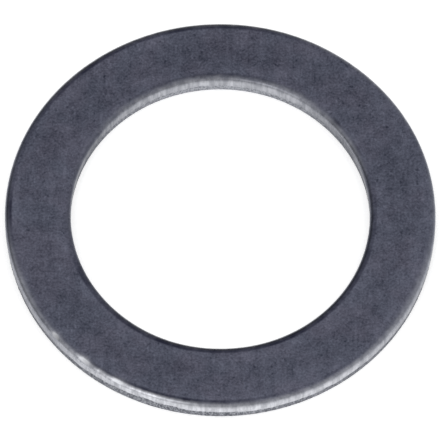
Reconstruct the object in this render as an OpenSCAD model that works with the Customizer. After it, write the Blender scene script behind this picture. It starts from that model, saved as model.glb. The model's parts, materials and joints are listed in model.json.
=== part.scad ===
// A flat steel ring washer, stamped from strip in one stroke.
// It lies on its lower face, with its axis along +Z and its origin at the centre of that face.
// The stroke rolls the upper edges over, shears a smooth land below them round the hole and
// round the outside, and tears away what is left of the thickness below each land.

/* [Ring] */
// Diameter of the hole, across its sheared land
bore_d = 25; // [20:0.1:30]
// Outside diameter, across its sheared land
outer_d = 36; // [33:0.1:60]
// Thickness between the two flat faces
thickness = 2; // [1.6:0.01:4]

/* [Stamped edges] */
// Radius of the rolled edges round the upper face
roll_r = 0.45; // [0.1:0.01:0.55]
// Height of the torn band above the lower face
tear_h = 0.95; // [0.3:0.01:1]
// How far the torn band draws back from the land as it comes down to the lower face
tear_draw = 0.08; // [0.02:0.01:0.2]
// Bevel left on the lower edges where the burr is tumbled off
bevel = 0.06; // [0.02:0.01:0.15]

/* [Hidden] */
$fn = 180;
bore_r = bore_d / 2;
outer_r = outer_d / 2;

// The points of one rim from the upper face down, at land radius r.
// side is 1 for the outside, where the metal lies inwards, and -1 for the hole.
function rim(r, side) = [
    [r, thickness],
    [r, tear_h],
    [r - side * tear_draw, bevel],
    [r - side * (tear_draw + bevel), 0]
];

function reversed(points) = [for (i = [len(points) - 1 : -1 : 0]) points[i]];

// What the rolled edge leaves empty in the upper corner of a rim
module roll_relief(r, side) {
    translate([r - side * roll_r, thickness - roll_r])
        rotate(side > 0 ? 0 : 90)
            difference() {
                square(2 * roll_r);
                circle(roll_r);
            }
}

// The ring's section, with radius along X and height along Y
module section() {
    difference() {
        polygon(concat(rim(outer_r, 1), reversed(rim(bore_r, -1))));
        roll_relief(outer_r, 1);
        roll_relief(bore_r, -1);
    }
}

module washer() {
    color([0.31, 0.315, 0.365])
        rotate_extrude()
            section();
}

washer();
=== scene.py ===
import json

import bpy
import numpy as np
from mathutils import Matrix, Vector


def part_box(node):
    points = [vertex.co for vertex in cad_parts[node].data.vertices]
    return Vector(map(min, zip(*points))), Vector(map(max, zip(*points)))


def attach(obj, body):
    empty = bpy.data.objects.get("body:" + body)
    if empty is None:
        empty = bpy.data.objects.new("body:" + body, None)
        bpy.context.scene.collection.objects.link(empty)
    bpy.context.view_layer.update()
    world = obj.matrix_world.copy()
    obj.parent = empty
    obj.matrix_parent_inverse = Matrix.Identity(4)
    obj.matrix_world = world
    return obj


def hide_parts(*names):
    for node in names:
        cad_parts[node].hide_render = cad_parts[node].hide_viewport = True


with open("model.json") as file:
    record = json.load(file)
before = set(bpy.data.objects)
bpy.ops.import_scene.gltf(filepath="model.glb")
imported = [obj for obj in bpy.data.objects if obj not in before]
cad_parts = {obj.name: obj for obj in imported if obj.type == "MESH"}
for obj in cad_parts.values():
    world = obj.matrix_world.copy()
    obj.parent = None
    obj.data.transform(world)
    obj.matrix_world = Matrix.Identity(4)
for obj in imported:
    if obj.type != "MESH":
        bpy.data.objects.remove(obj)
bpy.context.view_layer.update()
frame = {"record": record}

# The washer
# One flat ring of dark strip steel, stamped in a single stroke and then tumbled. The stroke
# rolled the upper edges over, sheared a bright land below them round the hole and round the
# outside, and tore through the lower half of the thickness, which left that band dull and grainy.
mm = 0.001
mounts = {mount["name"]: mount for mount in frame["record"]["mounts"]}
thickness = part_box("washer")[1].z
hole_r = mounts["bore"]["dims"]["r_mm"] * mm
outside_r = mounts["outer_rim"]["dims"]["r_mm"] * mm
land_length = mounts["bore"]["dims"]["length_mm"] * mm
land_foot = mounts["bore"]["pos_m"][2] - land_length / 2
roll_r = thickness - land_foot - land_length
half_width = (outside_r - hole_r) / 2
tear_draw = 0.08 * mm
bevel = 0.06 * mm
# How unevenly the stroke rolled and sheared, and the fewest and most waves of that round the ring
roll_spread = 0.05
roll_waves = (2, 9)
foot_waver = 0.06 * mm
foot_waves = (5, 60)
shear_scuff = 0.0022 * mm
scuff_waves = (90, 320)
# Grain of the torn band: its size, and how many random waves make it, with how many turns round the
# ring and cycles along the band
tear_grain = 0.016 * mm
grain_waves = 110
grain_turns = (60, 420)
grain_cycles = 3
# Share of the torn band over which the grain sets in
grain_start = 0.25
# How bright the land is, from 0 to 1, partly painted light: the share of facing along Y from which
# the painted light rises, how much it varies and loses round the ring, and how far the painted light
# leans towards the walls that face the right
wall_light_from = 0.38
wall_light_spread = 0.06
wall_light_waves = (3, 14)
wall_light_loss = 0.012
wall_light_lean = 0.05
# Knocks on the outer rolled edge: place round the ring and down the roll in degrees, length and depth
knocks = [
    (220.4, 42, 0.50 * mm, 0.078 * mm),
    (231.0, 30, 0.60 * mm, 0.078 * mm),
    (236.2, 37, 0.28 * mm, 0.035 * mm),
    (242.0, 34, 0.80 * mm, 0.060 * mm),
]
knock_width = np.radians(31)
# Stretches of the rolled edges that are rubbed bare: place and half length in degrees, and how bare
# at the top of the roll and lower down
outer_rubs = [
    (203, 17, 0.36, 0.38),
    (228, 11, 0.12, 0.20),
    (250, 11, 0.06, 0.41),
    (336, 20, 0.30, 0.30),
]
hole_rubs = [
    (33, 17, 0.30, 0.36),
    (61, 12, 0.24, 0.20),
    (95, 38, 0.17, 0.06),
    (148, 24, 0.18, 0.08),
]
# Share of the roll, from its top, over which a rub passes from the one to the other
rub_top = 1 / 3
# Stretches of the outer land that are scuffed dull: place and half length in degrees, and how much
# less clean they are
outer_dulls = [(234, 7, 0.14), (291, 13, 0.14)]
# Stretches of the faces' borders with a line of painted shade, where the rolled edges turn away from
# the light: place and half length in degrees, and how dark
outer_shade_lines = [
    (88, 22, 0.9),
    (130, 28, 0.9),
    (180, 9, 0.8),
    (257, 18, 0.5),
    (255, 62, 0.5),
]
hole_shade_lines = [
    (310, 42, 0.9),
    (245, 42, 0.9),
    (206, 10, 0.4),
    (345, 10, 0.2),
    (2, 12, 0.3),
    (28, 3, 0.8),
    (41, 3, 0.8),
    (90, 36, 0.75),
]
# Where the die ran tight on the outside and the land's foot is lifted: place and half length in
# degrees, and the lift
tight_place = 250
tight_half = 16
tight_lift = 0.38 * mm
# Steps of the mesh round the ring and along each part of a rim's section, and the angle from which
# its edges are sharp
turn_steps = 1296
face_steps = 4
roll_steps = 12
land_steps = 7
tear_steps = 11
bevel_steps = 2
under_steps = 3
sharp_from = np.radians(32)
# Where the torn band and the lower face start in the zones that rim counts
torn_zone = 2.0
under_zone = 4.0

angle = np.linspace(0, 2 * np.pi, turn_steps, endpoint=False)


def away_from(place):
    """The angle of each turn step from a place in degrees, between minus and plus half a turn."""
    return np.angle(np.exp(1j * (angle - np.radians(place))))[:, None]


def stretch_at(place, half):
    """A bell curve round the ring: 1 at a place, and 1 / e at half on either side, in degrees."""
    return np.exp(-(away_from(place) / np.radians(half)) ** 2)


def ripple(fewest, most, draw):
    """Waves round the ring: one cosine for each whole number of waves per turn from fewest to
    most, each with a random start, added and divided by the root of their number."""
    waves = np.arange(fewest, most + 1)
    starts = draw.uniform(0, 2 * np.pi, len(waves))
    return np.cos(np.outer(angle, waves) + starts).sum(1)[:, None] / np.sqrt(len(waves))


def grain(along, draw):
    """Random waves over the angle and the way along a band: cosines with a random whole number of
    turns round the ring, random cycles along the band and a random start, added and divided by
    the root of their number."""
    turns = draw.integers(*grain_turns, grain_waves)
    cycles = draw.uniform(-grain_cycles, grain_cycles, grain_waves)
    starts = draw.uniform(0, 2 * np.pi, grain_waves)
    phase = angle[:, None, None] * turns + 2 * np.pi * along[None, :, None] * cycles + starts
    return np.cos(phase).sum(2) / np.sqrt(grain_waves)


def rim(land_r, side, draw, knocked=(), rubbed=(), dulled=(), lined=(), lift=0.0):
    """One rim, from the middle of the upper face over the edge to the middle of the lower face.
    Each point has an inset from the land into the metal and a height: the upper face runs to the
    roll, the roll is a quarter circle with knocks pressed into it, the land goes straight down to
    its wavering foot with scuffs that only go inwards, the torn band leans inwards with grain on
    it, and a bevel meets the lower face. side is 1 for the outside and -1 for the hole. knocked,
    rubbed, dulled and lined list the rim's knocks, its bare and its dull stretches and its borders
    with painted shade, and lift is how far the land's foot is raised round the ring. Returns grids
    of angle by section step: places, zones, knocks, rubs, how bright the land is, partly painted
    light and partly scuffs, how dark the painted shade on the border is, and whether the rim is the
    hole's. The zone counts the parts of the section: -1 to 0 upper face, 0 to 1 roll, 1 to 2 land,
    2 to 3 torn band, 3 to 4 bevel, 4 to 5 lower face."""
    roll = roll_r * (1 + roll_spread * ripple(*roll_waves, draw))
    foot = land_foot + foot_waver * ripple(*foot_waves, draw) + lift
    scuff = shear_scuff * ripple(*scuff_waves, draw)
    scuff = scuff - scuff.min()
    all_round = np.ones_like(angle)[:, None]

    way = np.linspace(0, 1, face_steps, endpoint=False)
    face = half_width + (roll - half_width) * way, thickness * all_round + 0 * way, way - 1

    way = np.linspace(0, 1, roll_steps, endpoint=False)
    tilt = way * np.pi / 2
    inset = roll * (1 - np.sin(tilt))
    height = thickness - roll * (1 - np.cos(tilt))
    dent = 0 * inset
    for place, slope, length, depth in knocked:
        apart = land_r * away_from(place) / length
        dent = dent + depth * np.exp(-apart ** 2 - ((tilt - np.radians(slope)) / knock_width) ** 2)
    rolled = inset + dent * np.sin(tilt), height - dent * np.cos(tilt), way
    rubbing = 0 * inset
    for place, half, top, lower in rubbed:
        bareness = top + (lower - top) * np.minimum(way / rub_top, 1)
        rubbing = rubbing + stretch_at(place, half) * bareness

    way = np.linspace(0, 1, land_steps, endpoint=False)
    land_top = thickness - roll
    land = scuff * np.sin(np.pi * way) ** 0.5, land_top + (foot - land_top) * way, 1 + way

    way = np.linspace(0, 1, tear_steps, endpoint=False)
    rough = tear_grain * grain(way, draw) * np.minimum(way / grain_start, 1)
    torn = np.maximum(tear_draw * way + rough, 0), foot + (bevel - foot) * way, 2 + way

    way = np.linspace(0, 1, bevel_steps, endpoint=False)
    bevelled = tear_draw + bevel * way * all_round, bevel * (1 - way) * all_round, 3 + way

    way = np.linspace(0, 1, under_steps)
    low_edge = tear_draw + bevel
    under = low_edge + (half_width - low_edge) * way * all_round, 0 * way * all_round, 4 + way

    parts = zip(face, rolled, land, torn, bevelled, under)
    inset, height, zone = (np.concatenate(values, axis=-1) for values in parts)
    radius = land_r - side * inset
    along_x = radius * np.cos(angle)[:, None]
    along_y = radius * np.sin(angle)[:, None]
    spot = np.stack([along_x, along_y, height], axis=-1)
    on_roll = slice(face_steps, face_steps + roll_steps)
    knock = np.zeros_like(inset)
    knock[:, on_roll] = dent / max((depth for *_, depth in knocked), default=1)
    rub = np.zeros_like(inset)
    rub[:, on_roll] = rubbing
    # Painted light: the land is brightest on the walls that face along Y, towards the front and the
    # back, and a little brighter on the walls that face the right: the outside's right and the hole's
    # left
    painted_wall_light = np.clip((np.abs(np.sin(angle))[:, None] - wall_light_from) / (1 - wall_light_from), 0, 1)
    wall_light_and_scuffs = painted_wall_light + side * wall_light_lean * np.cos(angle)[:, None]
    wall_light_and_scuffs = wall_light_and_scuffs + wall_light_spread * ripple(*wall_light_waves, draw) - wall_light_loss
    for place, half, loss in dulled:
        wall_light_and_scuffs = wall_light_and_scuffs - loss * stretch_at(place, half)
    line = sum(dark * stretch_at(place, half) for place, half, dark in lined)
    grids = zone, knock, rub, np.clip(wall_light_and_scuffs, 0, 1), np.clip(line, 0, 1), side < 0
    return spot, *(np.broadcast_to(grid, inset.shape) for grid in grids)


draw_seed = 7
draw = np.random.default_rng(draw_seed)
outer_lift = tight_lift * stretch_at(tight_place, tight_half)
outer = rim(outside_r, 1, draw, knocks, outer_rubs, outer_dulls, outer_shade_lines, outer_lift)
inner = rim(hole_r, -1, draw, rubbed=hole_rubs, lined=hole_shade_lines)
# The section goes from the middle of the lower face up through the hole's rim and back down the
# outside. The two rims share the rows in the middle of each face, so one of each pair is left out.
spot, zone, knock, rub, wall_light_and_scuffs, line, hole = (
    np.concatenate([bore[:, ::-1][:, :-1], outside[:, :-1]], axis=1)
    for outside, bore in zip(outer, inner)
)
section_steps = spot.shape[1]

mesh = bpy.data.meshes.new("washer_ring")
turn = np.arange(turn_steps)[:, None]
step = np.arange(section_steps)[None, :]
next_turn = (turn + 1) % turn_steps
next_step = (step + 1) % section_steps
quads = np.stack([
    turn * section_steps + step,
    turn * section_steps + next_step,
    next_turn * section_steps + next_step,
    next_turn * section_steps + step,
], axis=-1)
mesh.vertices.add(turn_steps * section_steps)
mesh.vertices.foreach_set("co", spot.astype(np.float32).ravel())
mesh.loops.add(quads.size)
mesh.loops.foreach_set("vertex_index", quads.astype(np.int32).ravel())
mesh.polygons.add(turn_steps * section_steps)
mesh.polygons.foreach_set("loop_start", np.arange(0, quads.size, 4, dtype=np.int32))
mesh.polygons.foreach_set("use_smooth", np.ones(turn_steps * section_steps, bool))
mesh.update(calc_edges=True)
mesh.set_sharp_from_angle(angle=sharp_from)
layers = {"zone": zone, "knock": knock, "rub": rub, "wall_light_and_scuffs": wall_light_and_scuffs, "line": line, "hole": hole}
for name, values in layers.items():
    layer = mesh.attributes.new(name, "FLOAT", "POINT")
    layer.data.foreach_set("value", values.astype(np.float32).ravel())

# The map for baking: the ring cut into three equal strips, one above the other, each unrolled from
# the middle of the lower face right round the section. The lower face gets half its height.
strips = 3
strip_margin = 0.006
strip_turns = turn_steps // strips
profile = np.stack([np.hypot(spot[..., 0], spot[..., 1]).mean(0), spot[..., 2].mean(0)])
length = np.hypot(*(np.roll(profile, -1, axis=1) - profile))
length[np.minimum(zone[0], np.roll(zone[0], -1)) >= under_zone] /= 2
low = (np.cumsum(length) - length) / length.sum()
high = np.cumsum(length) / length.sum()
across = (turn % strip_turns + np.array([0, 0, 1, 1])) / strip_turns
upward = np.stack([low, high, high, low], axis=-1)
inside = 1 - 2 * strip_margin
map_u = strip_margin + inside * across[:, None, :] + 0 * upward
map_v = (turn[..., None] // strip_turns + strip_margin + inside * upward) / strips
mesh.uv_layers.new(name="OFBake").uv.foreach_set(
    "vector", np.stack([map_u, map_v], axis=-1).astype(np.float32).ravel()
)

ring = bpy.data.objects.new("washer_ring", mesh)
bpy.context.scene.collection.objects.link(ring)


def shade(kind, inputs=(), **settings):
    """Adds one node to the tree in hand. settings are the node's own options, and inputs gives
    sockets, by name or number, a plain value or another node's output."""
    node = tree.nodes.new(kind)
    for name, value in settings.items():
        setattr(node, name, value)
    for name, value in dict(inputs).items():
        if isinstance(value, bpy.types.NodeSocket):
            tree.links.new(value, node.inputs[name])
        else:
            node.inputs[name].default_value = value
    return node


def figure(operation, a, b=0.0):
    """The result of one operation, such as adding, on two values."""
    return shade("ShaderNodeMath", {0: a, 1: b}, operation=operation).outputs[0]


def blend(*shares):
    """The sum of some values, each times its share."""
    total = figure("MULTIPLY", *shares[0])
    for share in shares[1:]:
        total = figure("ADD", total, figure("MULTIPLY", *share))
    return total


def step_up(value, low, high, start=0.0, end=1.0):
    """A smooth step from start to end as the value goes from low to high."""
    inputs = {"Value": value, "From Min": low, "From Max": high, "To Min": start, "To Max": end}
    return shade("ShaderNodeMapRange", inputs, interpolation_type="SMOOTHSTEP").outputs["Result"]


def spread(value, start, end):
    """A straight change from start to end as the value goes from 0 to 1."""
    inputs = {"Value": value, "To Min": start, "To Max": end}
    return shade("ShaderNodeMapRange", inputs).outputs["Result"]


def tint(share, a, b):
    """A colour between a, where share is 0, and b, where it is 1."""
    return shade("ShaderNodeMix", {0: share, 6: a, 7: b}, data_type="RGBA").outputs[2]


def amount(share, a, b):
    """A plain value between a, where share is 0, and b, where it is 1."""
    return shade("ShaderNodeMix", {0: share, 2: a, 3: b}, data_type="FLOAT").outputs[0]


def speckle(per_mm, detail=2.0, crowding=(1.0, 1.0, 1.0)):
    """Noise with about per_mm lumps in a millimetre. crowding is how many times closer they lie along
    each axis, and under 1 it draws them out."""
    lay = shade("ShaderNodeMapping", {"Vector": in_mm, "Scale": crowding}, vector_type="POINT")
    inputs = {"Vector": lay.outputs[0], "Scale": per_mm, "Detail": detail, "Roughness": 0.6}
    return shade("ShaderNodeTexNoise", inputs).outputs[0]


steel = bpy.data.materials.new("stamped_steel")
steel.use_nodes = True
tree = steel.node_tree
where = shade("ShaderNodeTexCoord").outputs["Object"]
in_mm = shade("ShaderNodeVectorMath", {0: where, "Scale": 1 / mm}, operation="SCALE").outputs[0]
part = shade("ShaderNodeAttribute", attribute_name="zone").outputs["Fac"]
knocked = shade("ShaderNodeAttribute", attribute_name="knock").outputs["Fac"]
rubbed = shade("ShaderNodeAttribute", attribute_name="rub").outputs["Fac"]
lit_walls_and_scuffs = shade("ShaderNodeAttribute", attribute_name="wall_light_and_scuffs").outputs["Fac"]
lined = shade("ShaderNodeAttribute", attribute_name="line").outputs["Fac"]
in_hole = shade("ShaderNodeAttribute", attribute_name="hole").outputs["Fac"]

# Dark rolled skin: slate with a soft mottle, a fine tooth, pits, flecks and faint lines along Y from
# the strip's rolling. It is slightly paler towards the front, which is painted light, and towards its
# borders. Along the edges runs a line of painted shade that comes and goes, darkest where the rolled
# edges turn away from the light.
cool_dark = (0.0236, 0.0262, 0.0410, 1)
cool_pale = (0.1272, 0.1347, 0.1790, 1)
warm_dark = (0.0249, 0.0262, 0.0410, 1)
warm_pale = (0.1336, 0.1347, 0.1790, 1)
painted_edge_shade = (0.016, 0.017, 0.030, 1)
edge_shade_rough = 0.26
# How far from the edges the painted shade line starts and is full, in shares of the face's half width
line_start = 0.11
line_full = 0.02
cloud = speckle(0.16, 2.0)
mottle = speckle(0.95, 4.0)
tooth = speckle(5.0, 3.0)
lines = speckle(1.0, 2.0, (3.2, 0.18, 1.0))
to_back = shade("ShaderNodeSeparateXYZ", {0: in_mm}).outputs["Y"]
# Painted light: the skin is made slightly paler towards the front, as if lit more there
painted_front_light = figure("MULTIPLY", to_back, -mm / outside_r)
pits = step_up(speckle(2.4, 1.0), 0.36, 0.26)
flecks = step_up(speckle(2.8, 1.0), 0.64, 0.74)
near_edge = figure("MULTIPLY", step_up(part, -1.0, 0.0), step_up(part, under_zone + 1.0, under_zone))
tone = blend(
    (mottle, 0.28),
    (tooth, 0.42),
    (cloud, 0.13),
    (lines, 0.11),
    (pits, -0.07),
    (flecks, 0.07),
    (painted_front_light, 0.014),
    (near_edge, 0.038),
)
depth = spread(tone, -0.955, 2.045)
cool = tint(depth, cool_dark, cool_pale)
warm = tint(depth, warm_dark, warm_pale)
skin = tint(step_up(speckle(0.30, 3.0), 0.38, 0.64), cool, warm)
# Painted shade: a dark line along the edges, where the rolled edges turn away from the light
upper_edge = step_up(part, -line_start, -line_full)
lower_edge = step_up(part, under_zone + line_start, under_zone + line_full)
edge = figure("MULTIPLY", upper_edge, lower_edge)
edge = figure("MULTIPLY", edge, step_up(speckle(0.8, 3.0), 0.35, 0.65, 0.7, 1.0))
edge = figure("MULTIPLY", edge, lined)
skin = tint(edge, skin, painted_edge_shade)
skin_rough = amount(edge, spread(tone, 0.54, 0.34), edge_shade_rough)

# Bare sheared land: bright steel drawn into fine upright streaks by the die, some of them polished. It
# is darker on the walls that face the sides, which is painted shade, duller on the scuffed stretches
# and in the hole, and a knock burnishes it.
scuffed = (0.442, 0.45, 0.482, 1)
polished = (0.662, 0.67, 0.711, 1)
land_shade_and_scuff_outside = (0.118, 0.126, 0.160, 1)
land_shade_and_scuff_in_hole = (0.064, 0.070, 0.096, 1)
knock_bright = (0.54, 0.55, 0.58, 1)
streak = speckle(4.2, 3.0, (1.0, 1.0, 0.06))
scuffs = speckle(1.5, 3.0, (1.0, 1.0, 0.35))
shine = blend((streak, 0.45), (scuffs, 0.55))
polish = step_up(shine, 0.38, 0.62)
land = tint(polish, scuffed, polished)
bright = amount(in_hole, lit_walls_and_scuffs, step_up(lit_walls_and_scuffs, 0.20, 1.0, 0.0, 0.60))
bright = figure("MAXIMUM", blend((bright, 1.0), (polish, 0.12)), rubbed)
land = tint(bright, tint(in_hole, land_shade_and_scuff_outside, land_shade_and_scuff_in_hole), land)
land = tint(step_up(knocked, 0.25, 0.75), land, knock_bright)
land_rough = spread(shine, 0.42, 0.28)

# Torn band: dull and granular, with brighter facets where the walls carry painted light, and paler in
# the hole, most where that painted light is strong
torn_dark = (0.082, 0.088, 0.110, 1)
torn_bright = (0.410, 0.42, 0.455, 1)
torn_rough = 0.6
crumb = speckle(6.5, 3.0, (1.0, 1.0, 0.5))
facets = figure("MULTIPLY", step_up(crumb, 0.35, 0.68), spread(lit_walls_and_scuffs, 0.22, 1.0))
hole_pale = figure("MULTIPLY", in_hole, step_up(lit_walls_and_scuffs, 0.5, 1.0, 0.08, 0.40))
torn = tint(figure("ADD", facets, hole_pale), torn_dark, torn_bright)

# Where each finish ends: tumbling has worn the skin off the roll little by little, and the torn band
# starts at a ragged line
wear = figure("SUBTRACT", speckle(1.4, 3.0), 0.5)
worn = blend((part, 1.0), (wear, 0.3), (rubbed, 1.1), (knocked, 1.2), (in_hole, -0.03))
bare = figure("MULTIPLY", step_up(worn, -0.05, 1.2), step_up(part, under_zone, under_zone - 0.2))
fray = figure("SUBTRACT", speckle(4.0, 3.0), 0.5)
ragged = blend((part, 1.0), (fray, 0.35))
broken = step_up(ragged, torn_zone, torn_zone + 0.12)

# The finishes put together, with a fine relief of tooth, streaks and crumbs
relief_depth = 0.012 * mm
metal = tint(broken, land, torn)
metal_rough = amount(broken, land_rough, torn_rough)
skin_relief = blend((tooth, 0.6), (lines, 0.25))
metal_relief = amount(broken, figure("MULTIPLY", streak, 0.7), figure("MULTIPLY", crumb, 4.0))
relief = amount(bare, skin_relief, metal_relief)
bump = shade("ShaderNodeBump", {"Height": relief, "Strength": 0.5, "Distance": relief_depth})
shader = tree.nodes["Principled BSDF"]
shader.inputs["Metallic"].default_value = 1.0
tree.links.new(tint(bare, skin, metal), shader.inputs["Base Color"])
tree.links.new(amount(bare, skin_rough, metal_rough), shader.inputs["Roughness"])
tree.links.new(bump.outputs[0], shader.inputs["Normal"])
mesh.materials.append(steel)

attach(ring, "root")
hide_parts("washer")

# The floor
# A plain white sheet that the washer lies on, a hair below its lower face. It is wide enough to fill
# the picture from a low camera, and glows a little, so that the washer's shadow on it stays faint.
floor_half = 3.0
floor_drop = 0.01 * mm
floor_glow = 0.43
sheet_white = (0.85, 0.85, 0.85, 1)
glow_white = (1, 1, 1, 1)
floor_mesh = bpy.data.meshes.new("floor")
signs = [(-1, -1), (1, -1), (1, 1), (-1, 1)]
corners = [(x * floor_half, y * floor_half, -floor_drop) for x, y in signs]
floor_mesh.from_pydata(corners, [], [(0, 1, 2, 3)])
floor = bpy.data.objects.new("floor", floor_mesh)
bpy.context.scene.collection.objects.link(floor)
sheet = bpy.data.materials.new("white_sheet")
sheet.use_nodes = True
tree = sheet.node_tree
shader = tree.nodes["Principled BSDF"]
shader.inputs["Base Color"].default_value = sheet_white
shader.inputs["Roughness"].default_value = 0.9
shader.inputs["Specular IOR Level"].default_value = 0.0
shader.inputs["Emission Color"].default_value = glow_white
path = shade("ShaderNodeLightPath").outputs
seen = figure("MAXIMUM", path["Is Camera Ray"], path["Is Glossy Ray"])
seen = figure("MAXIMUM", seen, path["Is Transmission Ray"])
tree.links.new(figure("MULTIPLY", seen, floor_glow), shader.inputs["Emission Strength"])
floor_mesh.materials.append(sheet)

# The studio
# A pale tent, brightest overhead and dimmest low down at the back left, with one soft panel at the
# front left that lifts that side of the rim.
tent_white = (1, 1, 1, 1)
tent_overhead = 1.15
tent_sides = 0.86
tent_dimmest = 0.32
panel_side = 0.3
panel_watts = 0.4
panel_place = (-0.25, -0.45, 0.40)
world = bpy.data.worlds.new("studio_tent")
world.use_nodes = True
bpy.context.scene.world = world
tree = world.node_tree
look = shade("ShaderNodeSeparateXYZ", {0: shade("ShaderNodeTexCoord").outputs["Generated"]}).outputs
towards_dim = blend((look["Y"], 0.7), (look["X"], -0.7))
low_light = step_up(towards_dim, 0.08, 0.72, tent_sides, tent_dimmest)
tent = amount(step_up(look["Z"], 0.36, 0.92), low_light, tent_overhead)
tree.links.new(tent, tree.nodes["Background"].inputs["Strength"])
tree.nodes["Background"].inputs["Color"].default_value = tent_white

panel = bpy.data.lights.new("front_panel", "AREA")
panel.shape = "SQUARE"
panel.size = panel_side
panel.energy = panel_watts
panel_lamp = bpy.data.objects.new("front_panel", panel)
panel_lamp.location = panel_place
panel_lamp.rotation_euler = (-panel_lamp.location).to_track_quat("-Z", "Y").to_euler()
panel_lamp.visible_camera = False
bpy.context.scene.collection.objects.link(panel_lamp)

# The camera
# A long lens looking down at the front of the washer, as the photograph does. The picture is taken
# to be 440 pixels square, and the washer's upper centre lies where the photograph has it.
picture_px = 440
scale_px_per_mm = 11.97
centre_px = (220.3, 212.0)
elevation = np.radians(63.3)
lean = np.radians(0.5)
distance = 0.6
camera_data = bpy.data.cameras.new("camera")
camera_data.sensor_width = 36.0
camera_data.lens = camera_data.sensor_width * distance / (picture_px / scale_px_per_mm * mm)
camera_data.shift_x = (picture_px / 2 - centre_px[0]) / picture_px
camera_data.shift_y = (centre_px[1] - picture_px / 2) / picture_px
camera_data.clip_end = 20.0
camera = bpy.data.objects.new("camera", camera_data)
back = Vector((0, -np.cos(elevation), np.sin(elevation)))
camera.location = Vector((0, 0, thickness)) + back * distance
aim = (-back).to_track_quat("-Z", "Y").to_matrix() @ Matrix.Rotation(lean, 3, "Z")
camera.rotation_euler = aim.to_euler()
bpy.context.scene.collection.objects.link(camera)
bpy.context.scene.camera = camera
bpy.context.scene.view_settings.view_transform = "Standard"
